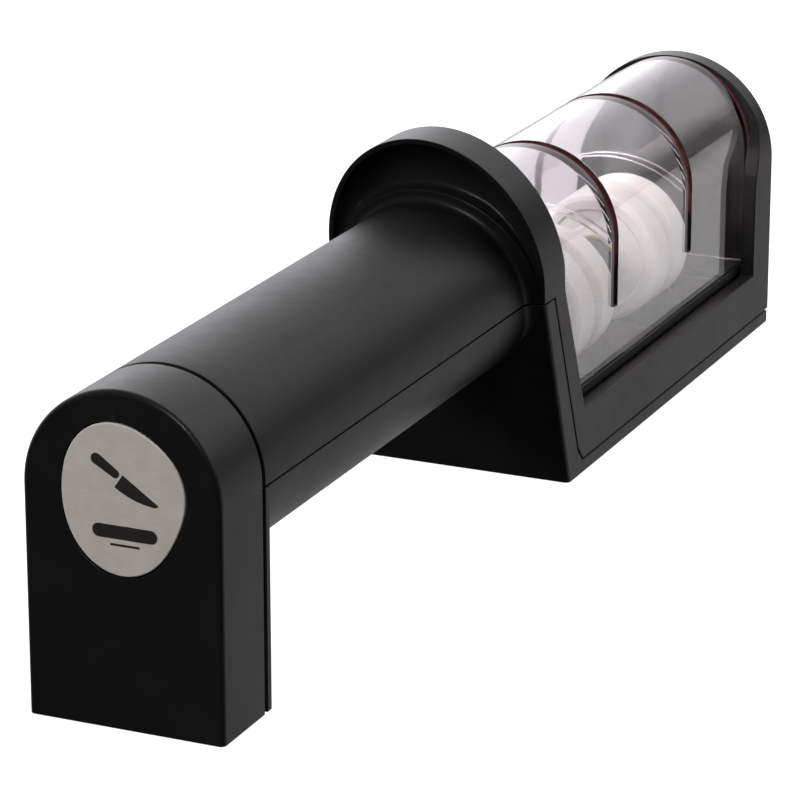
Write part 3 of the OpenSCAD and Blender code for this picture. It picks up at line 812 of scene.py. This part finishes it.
washers = []
spacers = []
reach = pair_half_l + 0.6
for slot_y, low, high in ((coarse_y, post_ys[0], post_ys[1]), (fine_y, post_ys[1], post_ys[2])):
    washers.append(tube("washer", low + 1.5, low + 2.3, 4.8, 2.56, 0.12))
    washers.append(tube("washer", high - 2.3, high - 1.5, 4.8, 2.56, 0.12))
    spacers.append(tube("spacer", low + 2.3, slot_y - reach, 3.6, 2.56, 0.2))
    spacers.append(tube("spacer", slot_y + reach, high - 2.3, 3.6, 2.56, 0.2))
for part in washers:
    coat(soften(part, 0.04, angle=25, segments=2), bright_steel)
dress(merge("thrust_washers", washers), "housing", "steel", "axle_washers")
spacer_black = moulded_plastic("spacer_black", (0.02, 0.02, 0.021), (0.034, 0.034, 0.036), 0.2, 0.004, 0.4)
for part in spacers:
    coat(soften(part, 0.06, angle=25, segments=2), spacer_black)
dress(merge("spacer_tubes", spacers), "housing", "spacer_plastic", "axle_spacers")
clips = []
for low in (25.42, 102.0):
    outline = arc((0, axle_z), 4.4, -60, 240, 60)
    for start, end, radius in (
            (240, 222, 2.7), (216, 196, 3.5), (190, 170, 2.56), (164, 104, 3.5), (98, 82, 2.56),
            (76, 16, 3.5), (10, -10, 2.56), (-16, -36, 3.5), (-42, -60, 2.7)):
        outline += arc((0, axle_z), radius, start, end, 6)
    clips.append(coat(soften(prism("clip", outline, "y", low, low + 0.56), 0.06), bright_steel))
dress(merge("spring_clips", clips), "housing", "steel", "axle_clips")

# ---------------------------------------------------------------------------------------------
# Seal. A black rubber frame round the tub, on the cassette's flange. The cover's lower edge
# presses into it; its outer lip shows as a dark band under the clear side.
# ---------------------------------------------------------------------------------------------
seal_low, seal_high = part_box("cover_seal")
seal_z, seal_top = seal_low.z / MM, seal_high.z / MM
seal_rear = seal_high.y / MM
seal = prism("cover_gasket", [
    (back_y(seal_z) + 0.45, seal_z), (back_y(seal_top) + 0.45, seal_top), (seal_rear, seal_top),
    (seal_rear, seal_z)], "x", -17.6, 17.6)
for side in (-1, 1):
    groove = arc((side * 17.75, 12.0), 0.75, 0, 360, 20)[:-1]
    combine(seal, prism("groove", groove, "y", 15, 125), "DIFFERENCE")
seal_space = box("seal_space", (-tub_half_w, tub_low_y - 0.05, 0), (tub_half_w, tub_high_y + 0.05, 30))
combine(seal, seal_space, "DIFFERENCE")
rubber = moulded_plastic("seal_rubber", (0.005, 0.005, 0.005), (0.009, 0.009, 0.009), 0.5, 0.012, 0.55)
coat(soften(seal, 0.2), rubber)
dress(seal, "housing", "seal_rubber", "cover_seal")

# ---------------------------------------------------------------------------------------------
# Clear cover. One polycarbonate moulding, 2 mm thick, that lifts off for cleaning. Each knife
# slot runs between two arched ribs; the slots' and rear end's lips are coloured dark red.
# ---------------------------------------------------------------------------------------------
cover_r = cover_high.x / MM
cover_arch_z = cover_high.z / MM - cover_r
cover_foot_z = cover_low.z / MM
cover_end_y = cover_high.y / MM
cover_t = 2.0
slot_foot_z = 25.8


def cover_shape(name, inset, end_inset, low_z):
    """The cover's outer shape, or the space under its skin."""
    arch = tombstone(cover_r - inset, cover_arch_z, low_z, 96)
    shape = prism(name, arch, "y", -20, cover_end_y - end_inset)
    return combine(shape, prism("lean", [
        (back_y(0) + 0.4 + end_inset, 0), (back_y(split_z) + 0.4 + end_inset, split_z),
        (back_y(80) + 0.4 + end_inset, 80), (150, 80), (150, 0)], "x", -30, 30), "INTERSECT")


clear_cover = cover_shape("clear_cover_moulding", 0, 0, cover_foot_z)
combine(clear_cover, cover_shape("inside", cover_t, 1.8, cover_foot_z - 1), "DIFFERENCE")
for slot_y in (coarse_y, fine_y):
    ribs = prism("ribs", arc((0, cover_arch_z), cover_r - 1, 0, 180, 96), "y", slot_y - 2.6, slot_y + 2.6)
    under_ribs = [(0, -8), (26.1, -8), (26.1, 8), (0, 8)]
    combine(ribs, lathe("rib_arch", under_ribs, (0, slot_y, 17.3), (0, 1, 0), 288), "DIFFERENCE")
    combine(clear_cover, ribs, "UNION")
for slot_y in (coarse_y, fine_y):
    combine(clear_cover, box("slot", (-30, slot_y - 1, slot_foot_z), (30, slot_y + 1, 70)), "DIFFERENCE")
soften(clear_cover, 0.15, segments=2)

clear_plastic, tree, shader = new_material("clear_plastic")
wipes = noise(tree, 3.0, 5.0, 0.7, (1.0, 0.25, 1.0))
haze = noise(tree, 14.0, 3.0)
shader.inputs["Transmission Weight"].default_value = 1.0
shader.inputs["IOR"].default_value = 1.49
smears = added(tree, ranged(tree, haze, 0.35, 0.7, 0.0, 0.02), ranged(tree, wipes, 0.5, 0.8, 0.01, 0.07))
tree.links.new(smears, shader.inputs["Roughness"])
bumped(tree, shader, noise(tree, 9.0, 2.0), 0.006)
tinted = blended(tree, worn(tree, 0.55, 0.7), (0.93, 0.905, 0.92), (0.98, 0.97, 0.975))
tree.links.new(tinted, shader.inputs["Base Color"])


def math_node(tree, operation, first, second=0.0):
    """A calculation on values or sockets."""
    made = node(tree, "ShaderNodeMath", operation=operation)
    for index, value in enumerate((first, second)):
        if isinstance(value, float):
            made.inputs[index].default_value = value
        else:
            tree.links.new(value, made.inputs[index])
    return made.outputs[0]


# the lips: the faces of the slots and of the rear end, as deep as the cover's skin
coords = node(tree, "ShaderNodeTexCoord")
point = node(tree, "ShaderNodeSeparateXYZ")
tree.links.new(coords.outputs["Object"], point.inputs[0])
above = math_node(tree, "MAXIMUM", math_node(tree, "SUBTRACT", point.outputs["Z"], cover_arch_z * MM))
outwards = math_node(tree, "SQRT", math_node(tree, "ADD", math_node(tree, "POWER", point.outputs["X"], 2.0),
                                             math_node(tree, "POWER", above, 2.0)))
from_slots = [math_node(tree, "ABSOLUTE", math_node(tree, "SUBTRACT", point.outputs["Y"], y * MM))
              for y in (coarse_y, fine_y)]
in_slot = math_node(tree, "LESS_THAN", math_node(tree, "MINIMUM", *from_slots), 1.03 * MM)
at_end = math_node(tree, "GREATER_THAN", point.outputs["Y"], (cover_end_y - 0.04) * MM)
above_foot = math_node(tree, "GREATER_THAN", point.outputs["Z"], (slot_foot_z - 0.06) * MM)
in_slot = math_node(tree, "MULTIPLY", in_slot, above_foot)
in_skin = math_node(tree, "GREATER_THAN", outwards, (cover_r - cover_t - 0.02) * MM)
is_lip = math_node(tree, "MULTIPLY", math_node(tree, "MAXIMUM", in_slot, at_end), in_skin)
red_lip = node(tree, "ShaderNodeBsdfPrincipled")
streaks = noise(tree, 1.6, 4.0, 0.6)
wavy = added(tree, point.outputs["Z"], ranged(tree, streaks, 0.3, 0.7, -0.0006, 0.0006))
red = blended(tree, ranged(tree, streaks, 0.35, 0.7, 0.0, 1.0), (0.035, 0.009, 0.01), (0.12, 0.032, 0.034))
tree.links.new(blended(tree, ranged(tree, wavy, 0.0336, 0.0346, 0.0, 1.0), (0.004, 0.003, 0.003), red),
               red_lip.inputs["Base Color"])
tree.links.new(ranged(tree, streaks, 0.3, 0.7, 0.3, 0.45), red_lip.inputs["Roughness"])
bumped(tree, red_lip, streaks, 0.01)
coloured = node(tree, "ShaderNodeMixShader")
tree.links.new(is_lip, coloured.inputs["Fac"])
tree.links.new(shader.outputs["BSDF"], coloured.inputs[1])
tree.links.new(red_lip.outputs["BSDF"], coloured.inputs[2])
rays = node(tree, "ShaderNodeLightPath")
through = node(tree, "ShaderNodeBsdfTransparent")
through.inputs["Color"].default_value = (0.86, 0.84, 0.85, 1)
either = node(tree, "ShaderNodeMixShader")
tree.links.new(rays.outputs["Is Shadow Ray"], either.inputs["Fac"])
tree.links.new(coloured.outputs["Shader"], either.inputs[1])
tree.links.new(through.outputs["BSDF"], either.inputs[2])
tree.links.new(either.outputs["Shader"], tree.nodes["Material Output"].inputs["Surface"])
coat(clear_cover, clear_plastic)
dress(clear_cover, "cover", "clear_plastic", "clear_cover")

# ---------------------------------------------------------------------------------------------
# Screws. Zinc-plated thread-forming screws with cross recesses: four up into the head, one up
# into the handle, two through the leg plate into the foot cap, four down through the tub.
# ---------------------------------------------------------------------------------------------
zinc = metal("zinc_plate", (0.5, 0.5, 0.49), 0.3, (2.0, 2.0, 2.0), 0.003)


def screw(place, direction, length):
    """A pan-head screw whose head starts at place; the shank points along direction."""
    profile = [(0, 0), (1.9, 0), (2.5, 0.2), (2.78, 0.6), (2.8, 1.55), (2.65, 1.8), (1.2, 1.8)]
    along = 2.0
    while along < length + 1.8 - 1.2:
        profile += [(1.2, along), (1.48, along + 0.22), (1.2, along + 0.44)]
        along += 0.6
    profile += [(1.1, length + 1.2), (0.4, length + 1.8), (0, length + 1.8)]
    made = lathe("screw", profile, (0, 0, 0), steps=40)
    for wide, deep in ((1.9, 0.42), (0.42, 1.9)):
        recess = [(-wide, -deep), (wide, -deep), (wide, deep), (-wide, deep)]
        combine(made, prism("recess", recess, "z", -0.5, 0.9), "DIFFERENCE")
    turn = Vector((0, 0, 1)).rotation_difference(Vector(direction)).to_matrix().to_4x4()
    made.data.transform(Matrix.Translation(Vector(place) * MM) @ turn)
    return coat(soften(made, 0.05, angle=40, segments=1), zinc)


shell_screws = [screw((x, y, floor_low + 0.02), (0, 0, 1), 5.3) for x, y in shell_screws_at]
shell_screws.append(screw((0, handle_screw_y, 22.12), (0, 0, 1), 23.8))
dress(merge("shell_screw_set", shell_screws), "housing", "steel", "shell_screws")
tub_screws = [screw((x, y, floor_top + 3.38), (0, 0, -1), 2.8) for x, y in cassette_screws_at]
dress(merge("cassette_screw_set", tub_screws), "housing", "steel", "cassette_screws")
cap_screws = [screw((side * 13.6, y_leg + leg_t + 1.78, 10), (0, -1, 0), 8.9) for side in (-1, 1)]
dress(merge("foot_cap_screw_set", cap_screws), "housing", "steel", "foot_cap_screws")

# ---------------------------------------------------------------------------------------------
# Pads. Die-cut soft rubber strips, glued into shallow beds under the head and the foot, that
# stand 0.2 mm proud of the shells and keep the tool from sliding.
# ---------------------------------------------------------------------------------------------
pad_rubber = moulded_plastic("pad_rubber", (0.012, 0.012, 0.012), (0.022, 0.021, 0.021), 0.6, 0.03, 0.7)
for name, low, high, half in (("head_pad_front", 30, 40, 14), ("head_pad_rear", 102, 112, 14),
                              ("foot_pad", -121, -114, 12)):
    pad = box(name + "_strip", (0.15 - half, low + 0.15, 0), (half - 0.15, high - 0.15, 1.4))
    for step in range(5):
        y = low + (high - low) * (step + 1) / 6
        groove = [(y - 0.3, -0.2), (y + 0.3, -0.2), (y, 0.3)]
        combine(pad, prism("tread", groove, "x", 1.5 - half, half - 1.5), "DIFFERENCE")
    coat(soften(pad, 0.12, segments=2), pad_rubber)
    dress(pad, "housing", "pad_rubber", name)
